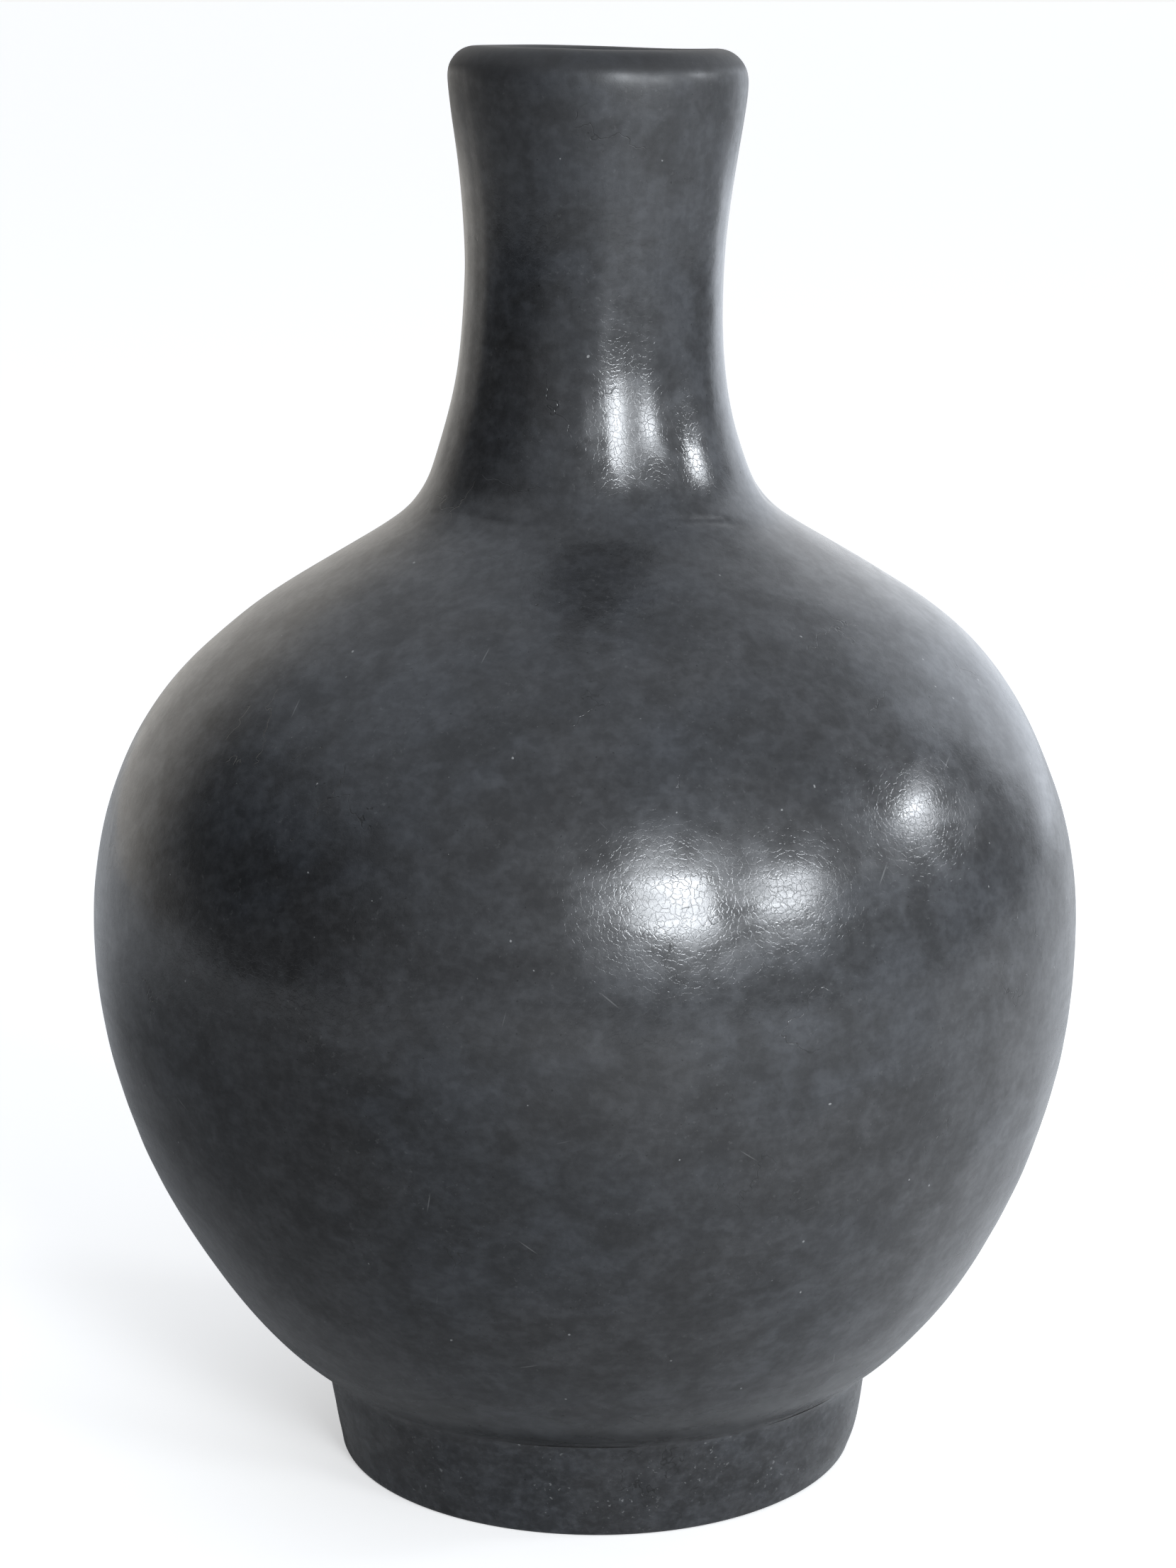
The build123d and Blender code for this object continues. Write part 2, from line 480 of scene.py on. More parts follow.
def coil(name, node, runs, materials, axisEnds=False):
    # runs go once round the coil's section: (line, distances along it, rubbed or bare)
    grids, shading = [], []
    for line, along, _ in runs:
        gap = math.copysign(spacing["beyondEnd"], along[-1] - along[0])
        grid = spun(line, np.concatenate([[along[0] - gap], along, [along[-1] + gap]]))
        grids.append(grid[1:-1])
        shading.append(rowNormals(grid).reshape(-1, 3))
    starts = np.cumsum([0] + [grid.shape[0] * around for grid in grids])
    positions = np.concatenate([grid.reshape(-1, 3) for grid in grids])
    quads, normals, numbers = [], [], []
    for i, (_, _, number) in enumerate(runs):
        for low in range(starts[i], starts[i + 1] - around, around):
            face = ringOfQuads(low, low + around)
            quads.append(face)
            normals.append(shading[i][face - starts[i]])
            numbers.append(np.full(around, number))
        if axisEnds and i == len(runs) - 1:
            continue
        # the ring of faces that joins this run to the next is hidden against another coil
        face = ringOfQuads(starts[i + 1] - around, starts[(i + 1) % len(runs)])
        corner = positions[face]
        flat = np.cross(corner[:, 1] - corner[:, 0], corner[:, 3] - corner[:, 0])
        flat /= np.maximum(np.linalg.norm(flat, axis=1), 1e-12)[:, None]
        quads.append(face)
        normals.append(np.repeat(flat[:, None], 4, 1))
        numbers.append(np.full(around, bare))
    fans, facing = np.zeros((0, 3), int), np.zeros((0, 3))
    if axisEnds:
        positions, fans, facing = middleFans(positions)
    quads = np.concatenate(quads)
    numbers = np.append(np.concatenate(numbers), np.full(len(fans), bare))
    normals = np.concatenate([np.concatenate(normals).reshape(-1, 3), facing])
    mesh = meshFrom(name, positions, quads, fans, numbers, normals)
    for material in materials:
        mesh.materials.append(material)
    piece = bpy.data.objects.new(name, mesh)
    bpy.context.scene.collection.objects.link(piece)
    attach(piece, "root")
    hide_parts(node)
    print("%s: %d faces" % (name, len(mesh.polygons)))


# a short way to write shader nodes
class Shader:
    def __init__(self, tree):
        self.tree = tree

    def node(self, kind, *inputs, **settings):
        made = self.tree.nodes.new(kind)
        for name, value in settings.items():
            setattr(made, name, value)
        for socket, value in zip(made.inputs, inputs):
            self.give(socket, value)
        return made

    def give(self, socket, value):
        if value is None:
            return
        if isinstance(value, bpy.types.NodeSocket):
            self.tree.links.new(value, socket)
        else:
            socket.default_value = value

    def maths(self, operation, *inputs, clamp=False):
        return self.node("ShaderNodeMath", *inputs, operation=operation, use_clamp=clamp).outputs[0]

    def times(self, first, second):
        return self.maths("MULTIPLY", first, second)

    def plus(self, first, second, clamp=False):
        return self.maths("ADD", first, second, clamp=clamp)

    def rest(self, share):
        return self.maths("SUBTRACT", 1.0, share)

    def vector(self, operation, *inputs):
        return self.node("ShaderNodeVectorMath", *inputs, operation=operation).outputs[0]

    def scaled(self, vector, amount):
        made = self.node("ShaderNodeVectorMath", vector, operation="SCALE")
        self.give(made.inputs["Scale"], amount)
        return made.outputs[0]

    def axes(self, vector):
        return self.node("ShaderNodeSeparateXYZ", vector).outputs

    def smooth(self, value, low, high, toLow=0.0, toHigh=1.0):
        made = self.node("ShaderNodeMapRange", value, low, high, toLow, toHigh,
                         interpolation_type="SMOOTHSTEP")
        return made.outputs[0]

    def noise(self, vector, scale, detail=3.0, roughness=0.55, distortion=0.0):
        made = self.node("ShaderNodeTexNoise", noise_dimensions="3D")
        for name, value in zip(("Vector", "Scale", "Detail", "Roughness", "Distortion"),
                               (vector, scale, detail, roughness, distortion)):
            self.give(made.inputs[name], value)
        return made.outputs["Fac"]

    def bent(self, vector, scale, amount):
        # moves every place a little, so that cells and lines run crooked
        noise = self.node("ShaderNodeTexNoise", vector, None, scale)
        return self.vector("ADD", vector, self.scaled(noise.outputs["Color"], amount))

    def voronoi(self, vector, scale, feature="F1"):
        made = self.node("ShaderNodeTexVoronoi", voronoi_dimensions="3D", feature=feature)
        self.give(made.inputs["Vector"], vector)
        self.give(made.inputs["Scale"], scale)
        return made.outputs

    def draws(self, cells):
        # two random numbers for each cell
        return self.node("ShaderNodeSeparateColor", cells["Color"]).outputs[:2]

    def blend(self, amount, first, second, kind="MIX"):
        made = self.node("ShaderNodeMix", data_type="RGBA", blend_type=kind)
        colours = [socket for socket in made.inputs if socket.type == "RGBA"]
        self.give(made.inputs["Factor"], amount)
        self.give(colours[0], first)
        self.give(colours[1], second)
        return next(socket for socket in made.outputs if socket.type == "RGBA")


def group(name, inputs, outputs):
    tree = bpy.data.node_groups.new(name, "ShaderNodeTree")
    for label, value in inputs.items():
        tree.interface.new_socket(label, in_out="INPUT", socket_type="NodeSocketFloat").default_value = value
    for label in outputs:
        tree.interface.new_socket(label, in_out="OUTPUT", socket_type="NodeSocketFloat")
    shader = Shader(tree)
    given = shader.node("NodeGroupInput").outputs
    result = shader.node("NodeGroupOutput").inputs
    place = shader.scaled(shader.node("ShaderNodeTexCoord").outputs["Object"], 1 / mm)
    return shader, given, result, place  # the place on the pot is in millimetres


# rubbing marks of the burnishing stone: level on the belly, upright on the neck
strokeMarks = {
    "turn": (-14.0, 8.0),
    "swayScale": 0.025,
    "sway": 22.0,
    "sizes": {"Strokes": (1.0, 2.0), "Fine": (3.1, 3.0)},
}


def makeStrokes():
    shader, given, result, place = group("stoneStrokes", {"Width": 3.0, "Length": 30.0}, ["Strokes", "Fine"])
    x, y, z = shader.axes(place)
    root = pot["rootHeight"] / mm
    upright = shader.smooth(z, root + strokeMarks["turn"][0], root + strokeMarks["turn"][1])
    across = shader.maths("DIVIDE", 1.0, given["Width"])
    lengthwise = shader.maths("DIVIDE", 1.0, given["Length"])
    sway = shader.maths("SUBTRACT", shader.noise(place, strokeMarks["swayScale"], 1.0), 0.5)
    slanted = shader.plus(z, shader.times(sway, strokeMarks["sway"]))
    levelPlace = shader.node("ShaderNodeCombineXYZ", shader.times(x, lengthwise), shader.times(y, lengthwise),
                             shader.times(slanted, across)).outputs[0]
    uprightPlace = shader.node("ShaderNodeCombineXYZ", shader.times(x, across), shader.times(y, across),
                               shader.times(z, lengthwise)).outputs[0]
    for label, (scale, detail) in strokeMarks["sizes"].items():
        onBelly = shader.times(shader.noise(levelPlace, scale, detail, 0.5), shader.rest(upright))
        onNeck = shader.times(shader.noise(uprightPlace, scale, detail, 0.5), upright)
        shader.give(result[label], shader.plus(onBelly, onNeck))
    return shader.tree


# smoke clouds of the firing, at three sizes, a little wider than they are tall
cloudMarks = {
    "stretch": (0.92, 0.92, 1.12),
    "sizes": {"Large": (1.0, 2.0), "Middle": (4.0, 3.0), "Small": (14.0, 4.0)},
    "swirl": 0.3,
}


def makeClouds():
    shader, given, result, place = group("smokeClouds", {"Size": 30.0}, ["Large", "Middle", "Small"])
    size = shader.maths("DIVIDE", 1.0, given["Size"])
    place = shader.vector("MULTIPLY", place, cloudMarks["stretch"])
    for label, (share, detail) in cloudMarks["sizes"].items():
        cloud = shader.noise(place, shader.times(size, share), detail, 0.55, cloudMarks["swirl"])
        shader.give(result[label], cloud)
    return shader.tree


# grains of pale sand at the surface, pits where a grain fell out, pores and scuffed flecks
speckMarks = {
    "bend": (1.3, 0.5),
    "kinds": {"Sand": (0.0, 0.50), "Pits": (37.0, 0.72)},
    "sizes": (0.5, 1.4),
    "softness": 0.55,
    "poreScale": 0.62,
    "poreSize": (0.35, 1.0, 0.0, 0.13),
    "poreEdge": (-0.05, 0.01),
    "flecks": (1.0, 0.64, 0.71),
    "clusters": (0.07, 0.48, 0.58),
}


def makeSpecks():
    shader, given, result, place = group("sandAndPits", {"Spacing": 5.0, "Grain": 0.3},
                                         ["Sand", "Pits", "Scuffs", "Pores"])
    scale = shader.maths("DIVIDE", 1.0, given["Spacing"])
    radius = shader.times(given["Grain"], scale)
    bent = shader.bent(place, *speckMarks["bend"])
    for label, (shift, rarity) in speckMarks["kinds"].items():
        cells = shader.voronoi(shader.vector("ADD", bent, (shift, shift, shift)), scale)
        draw, secondDraw = shader.draws(cells)
        kept = shader.maths("GREATER_THAN", draw, rarity)
        edge = shader.times(radius, shader.smooth(secondDraw, 0.0, 1.0, *speckMarks["sizes"]))
        inside = shader.smooth(cells["Distance"], shader.times(edge, speckMarks["softness"]), edge, 1.0, 0.0)
        shader.give(result[label], shader.times(inside, kept))
    holes = shader.voronoi(shader.vector("ADD", bent, (71.0, 13.0, 29.0)), speckMarks["poreScale"])
    size = shader.smooth(shader.draws(holes)[0], *speckMarks["poreSize"])
    ring = shader.maths("SUBTRACT", holes["Distance"], size)
    shader.give(result["Pores"], shader.smooth(ring, *speckMarks["poreEdge"], 1.0, 0.0))
    size, low, high = speckMarks["flecks"]
    flecks = shader.smooth(shader.noise(place, size, 2.0, 0.6), low, high)
    size, low, high = speckMarks["clusters"]
    clusters = shader.smooth(shader.noise(place, size, 1.0), low, high)
    shader.give(result["Scuffs"], shader.times(flecks, clusters))
    return shader.tree


# the skin that the stone presses flat: tiny facets with fine lines between them
skinMarks = {
    "bend": (0.7, 1.6),
    "lineWidth": 0.10,
    "facetScale": 0.8,
    "grainScale": 3.2,
}


def makeSkin():
    shader, given, result, place = group("pressedSkin", {"Facet": 1.6}, ["Facets", "Lines", "Grain"])
    scale = shader.maths("DIVIDE", 1.0, given["Facet"])
    bent = shader.bent(place, *skinMarks["bend"])
    edges = shader.voronoi(bent, scale, feature="DISTANCE_TO_EDGE")["Distance"]
    shader.give(result["Lines"], shader.smooth(edges, 0.0, skinMarks["lineWidth"], 1.0, 0.0))
    shader.give(result["Facets"], shader.noise(bent, shader.times(scale, skinMarks["facetScale"]), 3.0, 0.6))
    shader.give(result["Grain"], shader.noise(place, skinMarks["grainScale"], 2.0, 0.6))
    return shader.tree


# sparse scratches, and hairline cracks from the drying
lineMarks = {
    "scratchTurns": ((0.25, 0.0), (1.35, 50.0), (-0.7, 90.0)),
    "scratchAxis": (0.2, 1.0, 0.1),
    "scratchShape": (0.09, 0.09, 1.5),
    "scratchScale": 0.55,
    "scratchEdge": (0.05, 0.14),
    "crackBend": (0.25, 7.0),
    "crackScale": 0.055,
    "crackWidth": 0.009,
    "crackPatches": (0.045, 0.63, 0.67),
}


def makeMarks():
    shader, given, result, place = group("scratchesAndCracks", {"Rarity": 0.985}, ["Scratches", "Cracks"])
    total = None
    for turn, shift in lineMarks["scratchTurns"]:
        turned = shader.node("ShaderNodeVectorRotate", place, None, lineMarks["scratchAxis"], turn,
                             rotation_type="AXIS_ANGLE").outputs[0]
        shifted = shader.vector("ADD", turned, (shift, shift, shift))
        drawnOut = shader.vector("MULTIPLY", shifted, lineMarks["scratchShape"])
        cells = shader.voronoi(drawnOut, lineMarks["scratchScale"])
        kept = shader.maths("GREATER_THAN", shader.draws(cells)[0], given["Rarity"])
        thin = shader.smooth(cells["Distance"], *lineMarks["scratchEdge"], 1.0, 0.0)
        mark = shader.times(thin, kept)
        total = mark if total is None else shader.maths("MAXIMUM", total, mark)
    shader.give(result["Scratches"], total)
    bent = shader.bent(place, *lineMarks["crackBend"])
    edges = shader.voronoi(bent, lineMarks["crackScale"], feature="DISTANCE_TO_EDGE")["Distance"]
    line = shader.smooth(edges, 0.0, lineMarks["crackWidth"], 1.0, 0.0)
    size, low, high = lineMarks["crackPatches"]
    where = shader.smooth(shader.noise(place, size, 1.0), low, high)
    shader.give(result["Cracks"], shader.times(line, where))
    return shader.tree


strokesGroup = makeStrokes()
cloudsGroup = makeClouds()
specksGroup = makeSpecks()
skinGroup = makeSkin()
marksGroup = makeMarks()
print("node groups made: %s" % ", ".join(tree.name for tree in bpy.data.node_groups))


def useGroup(shader, tree, **values):
    made = shader.node("ShaderNodeGroup")
    made.node_tree = tree
    for name, value in values.items():
        made.inputs[name].default_value = value
    return made.outputs


def newMaterial(name):
    material = bpy.data.materials.new(name)
    material.use_nodes = True
    material.node_tree.nodes.clear()
    shader = Shader(material.node_tree)
    surface = shader.node("ShaderNodeBsdfPrincipled")
    out = shader.node("ShaderNodeOutputMaterial")
    shader.tree.links.new(surface.outputs[0], out.inputs[0])
    return material, shader, surface.inputs


def addBump(shader, surface, depth):
    # the depth is in millimetres
    bump = shader.node("ShaderNodeBump")
    bump.inputs["Distance"].default_value = mm
    shader.give(bump.inputs["Height"], depth)
    shader.give(surface["Normal"], bump.outputs[0])


# the blackened skin, rubbed bright with a stone
burnished = {
    "ash": (0.0138, 0.0142, 0.0152, 1),
    "slate": (0.0195, 0.0214, 0.0250, 1),
    "smoke": (0.0188, 0.0178, 0.0174, 1),
    "dust": (0.0420, 0.0450, 0.0490, 1),
    "sand": (0.42, 0.42, 0.41, 1),
    "pit": (0.006, 0.006, 0.006, 1),
    "cloudSize": 40.0,
    "strokeWidth": 2.6,
    "strokeLength": 34.0,
    "speckSpacing": 5.2,
    "speckSize": 0.25,
    "facet": 1.3,
    # where each kind of cloud starts and ends, and how much of its colour it brings
    "patches": (0.36, 0.64),
    "patchColour": 0.6,
    "mottle": (0.34, 0.68),
    "veil": (0.46, 0.80),
    "veilColour": 0.22,
    "strokeEdges": (0.33, 0.67),
    # fine light and dark grain, from a little of the strokes, the facets and the clouds
    "brushed": 0.12,
    "facetShare": 0.45,
    "grain": (0.38, 0.62, 0.82, 1.20),
    "poreDark": 0.35,
    "sandColour": 0.5,
    "scuffs": 0.05,
    "scratches": 0.16,
    # the roughness of the rubbed skin, from bright to dull, and what dulls it
    "shine": (0.11, 0.24),
    "dullRange": (0.15, 0.85),
    "mottleDull": 0.45,
    "strokeDull": 0.35,
    "facetDull": 0.3,
    # the wide soft shine over it
    "glow": (0.33, 0.67, 0.46, 0.86),
    "glowGrain": (0.5, 1.4, 0.72, 1.22),
    "glowRoughness": 0.355,
    "ior": 1.5,
    # the lip's top is hardly rubbed, and the neck below it and the clay above the foot less than the rest
    "lipBand": (5.0 * mm, 3.2 * mm),
    "lipColour": 0.5,
    "lipDull": 2.6,
    "lipGlow": 0.8,
    "underLip": (34 * mm, 9 * mm),
    "underLipDull": 1.9,
    "nearFoot": (4 * mm, 26 * mm),
    "nearFootDull": 0.7,
    # millimetres of bump
    "depths": {"Strokes": 0.009, "Facets": 0.0215, "Lines": -0.0078, "Grain": 0.003,
               "Pits": -0.08, "Cracks": -0.05},
}


def makeBurnishedClay(name, b, dullEnds=True):
    material, shader, surface = newMaterial(name)
    clouds = useGroup(shader, cloudsGroup, Size=b["cloudSize"])
    strokes = useGroup(shader, strokesGroup, Width=b["strokeWidth"], Length=b["strokeLength"])
    specks = useGroup(shader, specksGroup, Spacing=b["speckSpacing"], Grain=b["speckSize"])
    skin = useGroup(shader, skinGroup, Facet=b["facet"])
    marks = useGroup(shader, marksGroup)
    patches = shader.smooth(clouds["Large"], *b["patches"])
    mottle = shader.smooth(clouds["Middle"], *b["mottle"])
    veil = shader.smooth(clouds["Small"], *b["veil"])
    colour = shader.blend(mottle, b["ash"], b["slate"])
    colour = shader.blend(shader.times(patches, b["patchColour"]), colour, b["smoke"])
    colour = shader.blend(shader.times(veil, b["veilColour"]), colour, b["dust"])
    cloudy = shader.times(clouds["Small"], 1 - b["facetShare"])
    unbrushed = shader.plus(cloudy, shader.times(skin["Facets"], b["facetShare"]))
    brushed = shader.times(strokes["Fine"], b["brushed"])
    grain = shader.plus(brushed, shader.times(unbrushed, 1 - b["brushed"]))
    grain = shader.smooth(grain, *b["grain"])
    grain = shader.times(grain, shader.smooth(specks["Pores"], 0.0, 1.0, 1.0, b["poreDark"]))
    grey = shader.node("ShaderNodeCombineColor", grain, grain, grain).outputs[0]
    colour = shader.blend(1.0, colour, grey, kind="MULTIPLY")
    colour = shader.blend(shader.times(specks["Sand"], b["sandColour"]), colour, b["sand"])
    colour = shader.blend(shader.times(specks["Scuffs"], b["scuffs"]), colour, b["sand"])
    dark = shader.maths("MAXIMUM", specks["Pits"], marks["Cracks"])
    colour = shader.blend(dark, colour, b["pit"])
    colour = shader.blend(shader.times(marks["Scratches"], b["scratches"]), colour, b["sand"])
    unrubbed = shader.rest(shader.smooth(strokes["Strokes"], *b["strokeEdges"]))
    dull = shader.plus(shader.times(mottle, b["mottleDull"]), shader.times(unrubbed, b["strokeDull"]))
    dull = shader.plus(dull, shader.times(skin["Facets"], b["facetDull"]), clamp=True)
    glow = shader.smooth(clouds["Middle"], *b["glow"])
    glow = shader.times(glow, shader.smooth(grain, *b["glowGrain"]))
    if dullEnds:
        top, foot = pot["height"], pot["footHeight"]
        z = shader.axes(shader.node("ShaderNodeTexCoord").outputs["Object"])[2]
        lip = shader.smooth(z, top - b["lipBand"][0], top - b["lipBand"][1])
        underLip = shader.smooth(z, top - b["underLip"][0], top - b["underLip"][1])
        nearFoot = shader.smooth(z, foot + b["nearFoot"][0], foot + b["nearFoot"][1], 1.0, 0.0)
        colour = shader.blend(shader.times(lip, b["lipColour"]), colour, b["smoke"])
        dull = shader.plus(dull, shader.times(underLip, b["underLipDull"]))
        dull = shader.plus(dull, shader.times(nearFoot, b["nearFootDull"]))
        dull = shader.maths("MAXIMUM", dull, shader.times(lip, b["lipDull"]))
        glow = shader.times(glow, shader.rest(shader.times(lip, b["lipGlow"])))
    roughness = shader.node("ShaderNodeMapRange", dull, *b["dullRange"], *b["shine"], clamp=False).outputs[0]
    shader.give(surface["Base Color"], colour)
    shader.give(surface["Roughness"], roughness)
    shader.give(surface["Coat Weight"], glow)
    surface["Coat Roughness"].default_value = b["glowRoughness"]
    surface["IOR"].default_value = b["ior"]
    depth = None
    heights = {"Strokes": strokes["Strokes"], "Facets": skin["Facets"], "Lines": skin["Lines"],
               "Grain": skin["Grain"], "Pits": specks["Pits"], "Cracks": dark}
    for label, value in heights.items():
        part = shader.times(value, b["depths"][label])
        depth = part if depth is None else shader.plus(depth, part)
    addBump(shader, surface, depth)
    return material


# the foot is rubbed less, and its edge is scuffed
footFinish = dict(
    burnished,
    ash=(0.0200, 0.0210, 0.0228, 1),
    slate=(0.0310, 0.0335, 0.0380, 1),
    dust=(0.078, 0.081, 0.086, 1),
    cloudSize=22.0,
    scuffs=0.30,
    shine=(0.19, 0.31),
    glow=(0.33, 0.67, 0.45, 0.92),
)

# the inside and the underside, never rubbed
bareFinish = {
    "dark": (0.030, 0.029, 0.028, 1),
    "pale": (0.065, 0.064, 0.062, 1),
    "sand": burnished["sand"],
    "pit": burnished["pit"],
    "cloudSize": 26.0,
    "mottle": (0.35, 0.68),
    "wipeWidth": 1.6,
    "wipeLength": 45.0,
    "speckSpacing": 3.6,
    "speckSize": 0.4,
    "pitColour": 0.8,
    "sandColour": 0.5,
    "roughness": 0.78,
    "grainDepth": 0.05,
    "wipeDepth": 0.12,
}


def makeBareClay(name, b):
    material, shader, surface = newMaterial(name)
    clouds = useGroup(shader, cloudsGroup, Size=b["cloudSize"])
    wipes = useGroup(shader, strokesGroup, Width=b["wipeWidth"], Length=b["wipeLength"])
    specks = useGroup(shader, specksGroup, Spacing=b["speckSpacing"], Grain=b["speckSize"])
    skin = useGroup(shader, skinGroup)
    colour = shader.blend(shader.smooth(clouds["Middle"], *b["mottle"]), b["dark"], b["pale"])
    colour = shader.blend(shader.times(specks["Pits"], b["pitColour"]), colour, b["pit"])
    colour = shader.blend(shader.times(specks["Sand"], b["sandColour"]), colour, b["sand"])
    shader.give(surface["Base Color"], colour)
    surface["Roughness"].default_value = b["roughness"]
    wiped = shader.times(wipes["Strokes"], b["wipeDepth"])
    addBump(shader, surface, shader.plus(wiped, shader.times(skin["Grain"], b["grainDepth"])))
    return material


burnishedClay = makeBurnishedClay("burnishedClay", burnished)
footClay = makeBurnishedClay("footClay", footFinish, dullEnds=False)
bareClay = makeBareClay("rawClay", bareFinish)
print("materials made")


# where each coil ends, outside and inside, read from the frame
def outerAt(height):
    return reach(outerLine, 1, height, last=True)


def innerAt(height):
    return outerLength + reach(innerLine, 1, height)


def endsBetween(below, above):
    # where the wall of the coil below ends inside, and that of the coil above starts outside
    return outerAt(nodeLow(above)), innerAt(nodeHigh(below))


bowlEnds = endsBetween("base_bowl", "lower_belly_coil")
bellyEnds = endsBetween("lower_belly_coil", "upper_belly_coil")
shoulderEnds = endsBetween("upper_belly_coil", "shoulder_coil")
rootEnds = (rootAlong, innerAt(nodeLow("lower_neck_coil")))
neckEnds = endsBetween("lower_neck_coil", "upper_neck_coil")
lipEnds = endsBetween("upper_neck_coil", "lip_coil")
wallEnd = lengthAlong(wallLine)[-1] - spacing["fromAxis"]
seatAlong = outerAt(underLine[-1, 1])
seatUnder = lengthAlong(underLine)[-1]
ringUnder = reach(underLine, 0, pot["footInside"])
creases = (seatAlong, rootAlong)
clay = [burnishedClay, bareClay]

ringInside, ringRounding = pot["footInside"], pot["footRounding"]
ringLine = joined(
    straight([ringInside, pointAt(underLine, [ringUnder])[0, 1]], [ringInside, ringRounding]),
    bend([ringInside, ringRounding], [ringInside, 0], [ringInside + ringRounding, 0]),
)
ringStart, ringEnd = 0.4 * mm, lengthAlong(ringLine)[-1] - 0.3 * mm
coil("footRing", "foot_ring", [
    (wallLine, rowsBetween(0, seatAlong, spacing["foot"], (cornerAlong, seatAlong)), rubbed),
    (underLine, rowsBetween(seatUnder, ringUnder, spacing["inside"]), bare),
    (ringLine, rowsBetween(ringStart, ringEnd, spacing["foot"]), bare),
], [footClay, bareClay])
coil("baseBowl", "base_bowl", [
    (underLine, rowsBetween(spacing["fromAxis"], seatUnder, spacing["inside"]), bare),
    (wallLine, rowsBetween(seatAlong, bowlEnds[0], spacing["outside"], creases), rubbed),
    (wallLine, rowsBetween(bowlEnds[1], wallEnd, spacing["inside"]), bare),
], clay, axisEnds=True)
for name, node, low, high in (
    ("lowerBellyCoil", "lower_belly_coil", bowlEnds, bellyEnds),
    ("upperBellyCoil", "upper_belly_coil", bellyEnds, shoulderEnds),
    ("shoulderCoil", "shoulder_coil", shoulderEnds, rootEnds),
    ("lowerNeckCoil", "lower_neck_coil", rootEnds, neckEnds),
    ("upperNeckCoil", "upper_neck_coil", neckEnds, lipEnds),
):
    coil(name, node, [
        (wallLine, rowsBetween(low[0], high[0], spacing["outside"], creases), rubbed),
        (wallLine, rowsBetween(high[1], low[1], spacing["inside"]), bare),
    ], clay)
coil("lipCoil", "lip_coil", [
    (wallLine, rowsBetween(lipEnds[0], lipEnds[1], spacing["lip"]), rubbed),
], clay)


# the floor, and the room's soft light
studio = {
    "floorColour": (0.93, 0.915, 0.895, 1),
    "floorRoughness": 0.7,
    "floorSpecular": 0.2,
    "floorLift": 0.44,
    # painted shade: what the pot reflects is a floor painted darker than the floor seen, darker towards the
    # left, and darkest in a painted shadow left of the pot
    "shadePlace": (-0.34, -0.06, 0.0),
    "shadeReach": (0.14, 0.50),
    "shadeAtLeft": (0.20, 0.20, 0.20, 1),
    "shadedFloorLeft": (0.60, 0.60, 0.60, 1),
    "shadedFloorRight": (0.82, 0.82, 0.82, 1),
    "sideReach": (-0.5, 0.5),
    "nearFloor": 1.3,
    "farFloor": 60.0,
    "backdrop": (0.95, 0.95, 0.95, 1),
    "ceiling": 0.60,
    "ceilingEdge": (0.35, 0.85),
    # degrees round from the front to the right, and how bright the room is there
    "room": [(-180, 0.60), (-138, 0.60), (-122, 0.42), (-100, 0.10), (-84, 0.04), (-58, 0.05),
             (-30, 0.42), (20, 0.60), (60, 0.66), (86, 0.60), (106, 0.36), (127, 0.42),
             (135, 1.55), (158, 1.20)],
    "behind": (1, 1, 1, 1),
    "roomSlant": 0.5,
    "warmBefore": -100,
    "coolTint": (0.94, 1.00, 1.09),
    "warmTint": (1.03, 1.00, 0.95),
}


def disc(name, inner, outer, material, count=96):
    mesh = bpy.data.meshes.new(name)
    turns = [2 * math.pi * i / count for i in range(count)]
    points = [(outer * math.cos(t), outer * math.sin(t), 0) for t in turns]
    if inner:
        points += [(inner * math.cos(t), inner * math.sin(t), 0) for t in turns]
        faces = [(i, (i + 1) % count, count + (i + 1) % count, count + i) for i in range(count)]
    else:
        faces = [tuple(range(count))]
    mesh.from_pydata(points, [], faces)
    mesh.materials.append(material)
    piece = bpy.data.objects.new(name, mesh)
    bpy.context.scene.collection.objects.link(piece)
    piece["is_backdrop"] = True
    return piece


def makeFloor(s):
    material, shader, surface = newMaterial("paleFloor")
    seen = shader.node("ShaderNodeLightPath").outputs["Is Camera Ray"]
    place = shader.node("ShaderNodeTexCoord").outputs["Object"]
    # painted shade: rays other than the camera's see the floor painted darker, more so at the left, with a
    # painted shadow left of the pot
    side = shader.smooth(shader.axes(place)[0], *s["sideReach"])
    paintedShadeFloor = shader.blend(side, s["shadedFloorLeft"], s["shadedFloorRight"])
    fromShade = shader.node("ShaderNodeVectorMath", place, s["shadePlace"], operation="DISTANCE")
    outOfShade = shader.smooth(fromShade.outputs["Value"], *s["shadeReach"])
    paintedShadeFloor = shader.blend(outOfShade, s["shadeAtLeft"], paintedShadeFloor)
    shader.give(surface["Base Color"], shader.blend(seen, paintedShadeFloor, s["floorColour"]))
    surface["Roughness"].default_value = s["floorRoughness"]
    surface["Specular IOR Level"].default_value = s["floorSpecular"]
    surface["Emission Color"].default_value = (1, 1, 1, 1)
    shader.give(surface["Emission Strength"], shader.times(seen, s["floorLift"]))
    disc("nearFloor", 0, s["nearFloor"], material)
    farFloor = disc("farFloor", s["nearFloor"], s["farFloor"], material)
    farFloor.visible_glossy = False
    farFloor.visible_diffuse = False


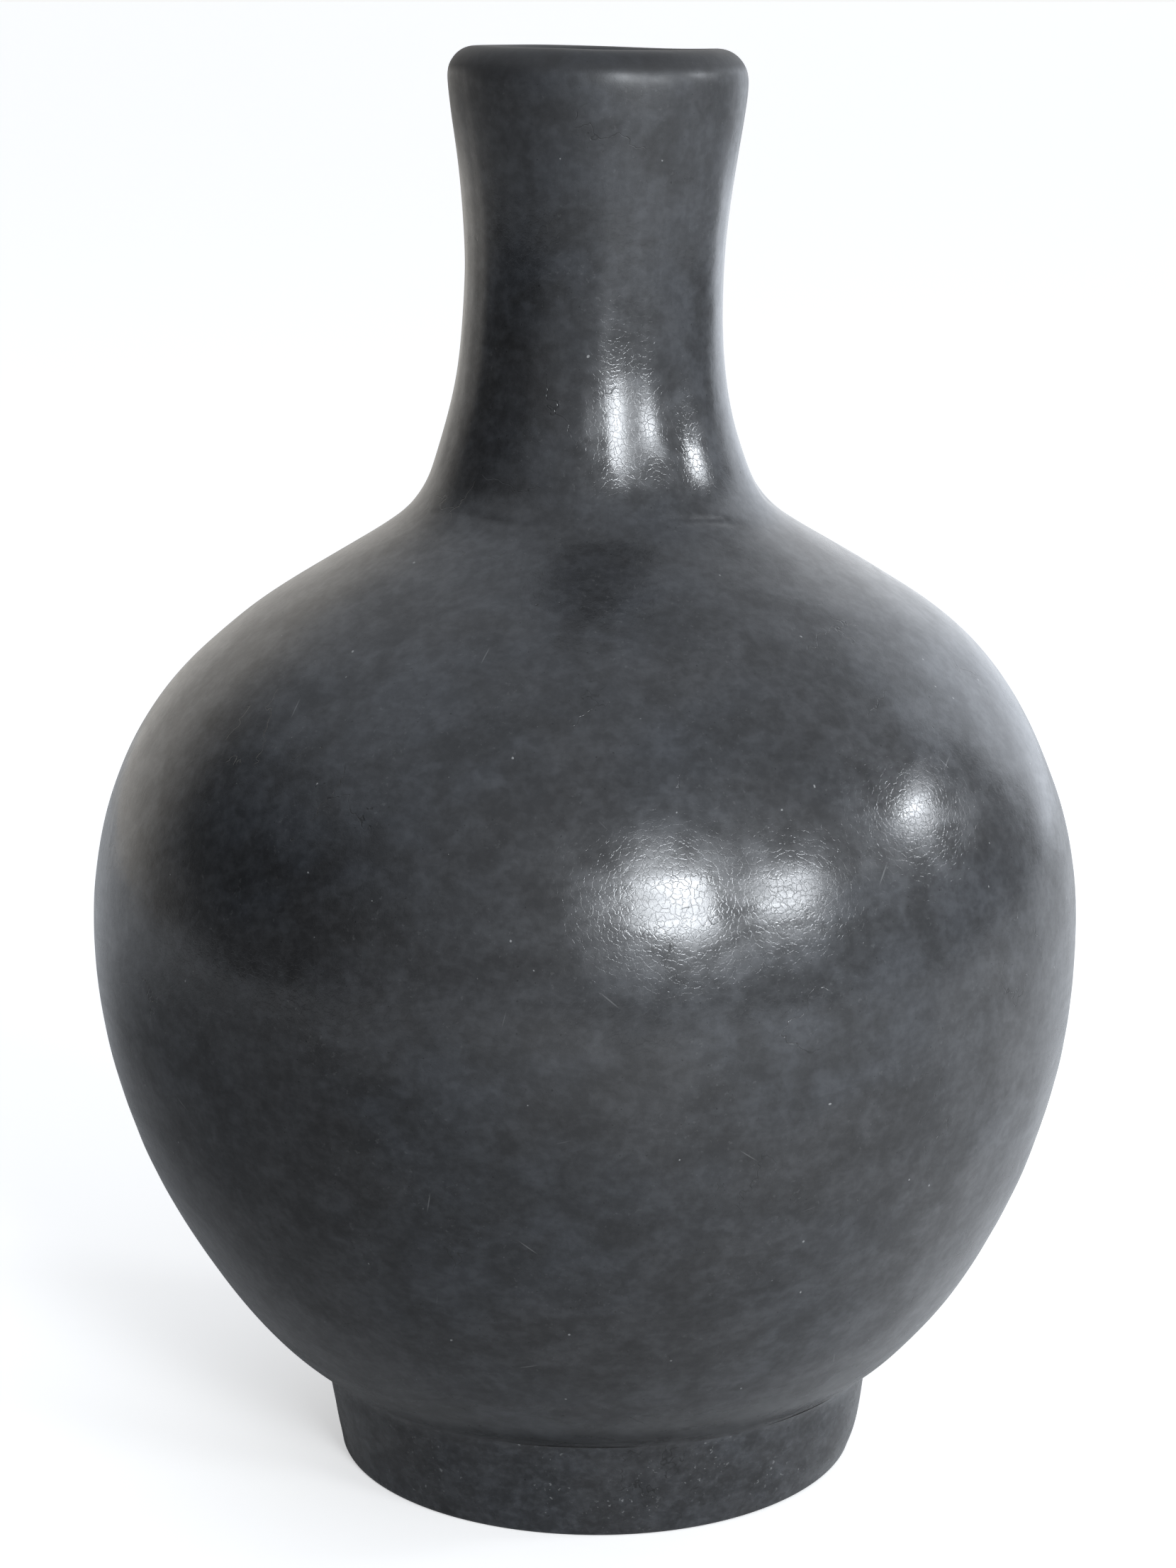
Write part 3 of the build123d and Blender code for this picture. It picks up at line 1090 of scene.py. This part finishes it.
def makeRoom(s):
    world = bpy.data.worlds.new("room")
    bpy.context.scene.world = world
    world.use_nodes = True
    world.node_tree.nodes.clear()
    shader = Shader(world.node_tree)
    x, y, z = shader.axes(shader.node("ShaderNodeTexCoord").outputs["Generated"])
    azimuth = shader.maths("ARCTAN2", x, shader.times(y, -1.0))
    slanted = shader.plus(azimuth, shader.times(shader.maths("ARCSINE", z), s["roomSlant"]))
    turn = shader.plus(shader.maths("DIVIDE", slanted, 2 * math.pi), 0.5, clamp=True)
    ramp = shader.node("ShaderNodeValToRGB", turn)
    stops = ramp.color_ramp.elements
    stops[-1].color = s["behind"]
    for i, (angle, light) in enumerate(s["room"]):
        stop = stops.new((angle + 180) / 360) if i else stops[0]
        tint = s["warmTint"] if angle < s["warmBefore"] else s["coolTint"]
        stop.color = tuple(light * share for share in tint) + (1,)
    up = shader.smooth(z, *s["ceilingEdge"])
    ceiling = tuple(s["ceiling"] * share for share in s["coolTint"]) + (1,)
    light = shader.blend(up, ramp.outputs[0], ceiling)
    seen = shader.node("ShaderNodeLightPath").outputs["Is Camera Ray"]
    light = shader.blend(seen, light, s["backdrop"])
    background = shader.node("ShaderNodeBackground", light, 1.0)
    out = shader.node("ShaderNodeOutputWorld")
    shader.tree.links.new(background.outputs[0], out.inputs[0])


# three soft windows: angle round from the front to the right, elevation, width, height
# and brightness
windows = {
    "frontWindow": (20.5, 20.6, 0.41, 0.50, 30.0),
    "sideWindow": (47.5, 18.6, 0.40, 0.24, 31.0),
    "farWindow": (88.5, 21.5, 0.32, 0.22, 29.0),
}
windowGlass = {"distance": 2.0, "colour": (0.955, 1.0, 1.05)}


def makeWindow(name, turn, lift, width, height, brightness):
    turn, lift = math.radians(turn), math.radians(lift)
    toLight = Vector((math.sin(turn) * math.cos(lift), -math.cos(turn) * math.cos(lift), math.sin(lift)))
    data = bpy.data.lights.new(name, "AREA")
    data.shape = "RECTANGLE"
    data.size, data.size_y = width, height
    data.energy = brightness * math.pi * width * height
    data.color = windowGlass["colour"]
    lamp = bpy.data.objects.new(name, data)
    lamp.location = Vector((0, 0, 0.5 * pot["height"])) + toLight * windowGlass["distance"]
    lamp.rotation_euler = toLight.to_track_quat("Z", "Y").to_euler()
    lamp.visible_camera = False
    bpy.context.scene.collection.objects.link(lamp)


makeFloor(studio)
makeRoom(studio)
for name, place in windows.items():
    makeWindow(name, *place)

eye = {"lens": 79.66, "location": (-0.00184, -0.7199, 0.3127), "pitch": 13.0, "farthest": 200}
cameraData = bpy.data.cameras.new("camera")
cameraData.lens = eye["lens"]
cameraData.clip_end = eye["farthest"]
camera = bpy.data.objects.new("camera", cameraData)
camera.location = eye["location"]
camera.rotation_euler = (math.radians(90 - eye["pitch"]), 0, 0)
bpy.context.scene.collection.objects.link(camera)
bpy.context.scene.camera = camera
bpy.context.scene.view_settings.view_transform = "Standard"
print("floor, room, %d windows and camera set" % len(windows))

low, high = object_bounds()
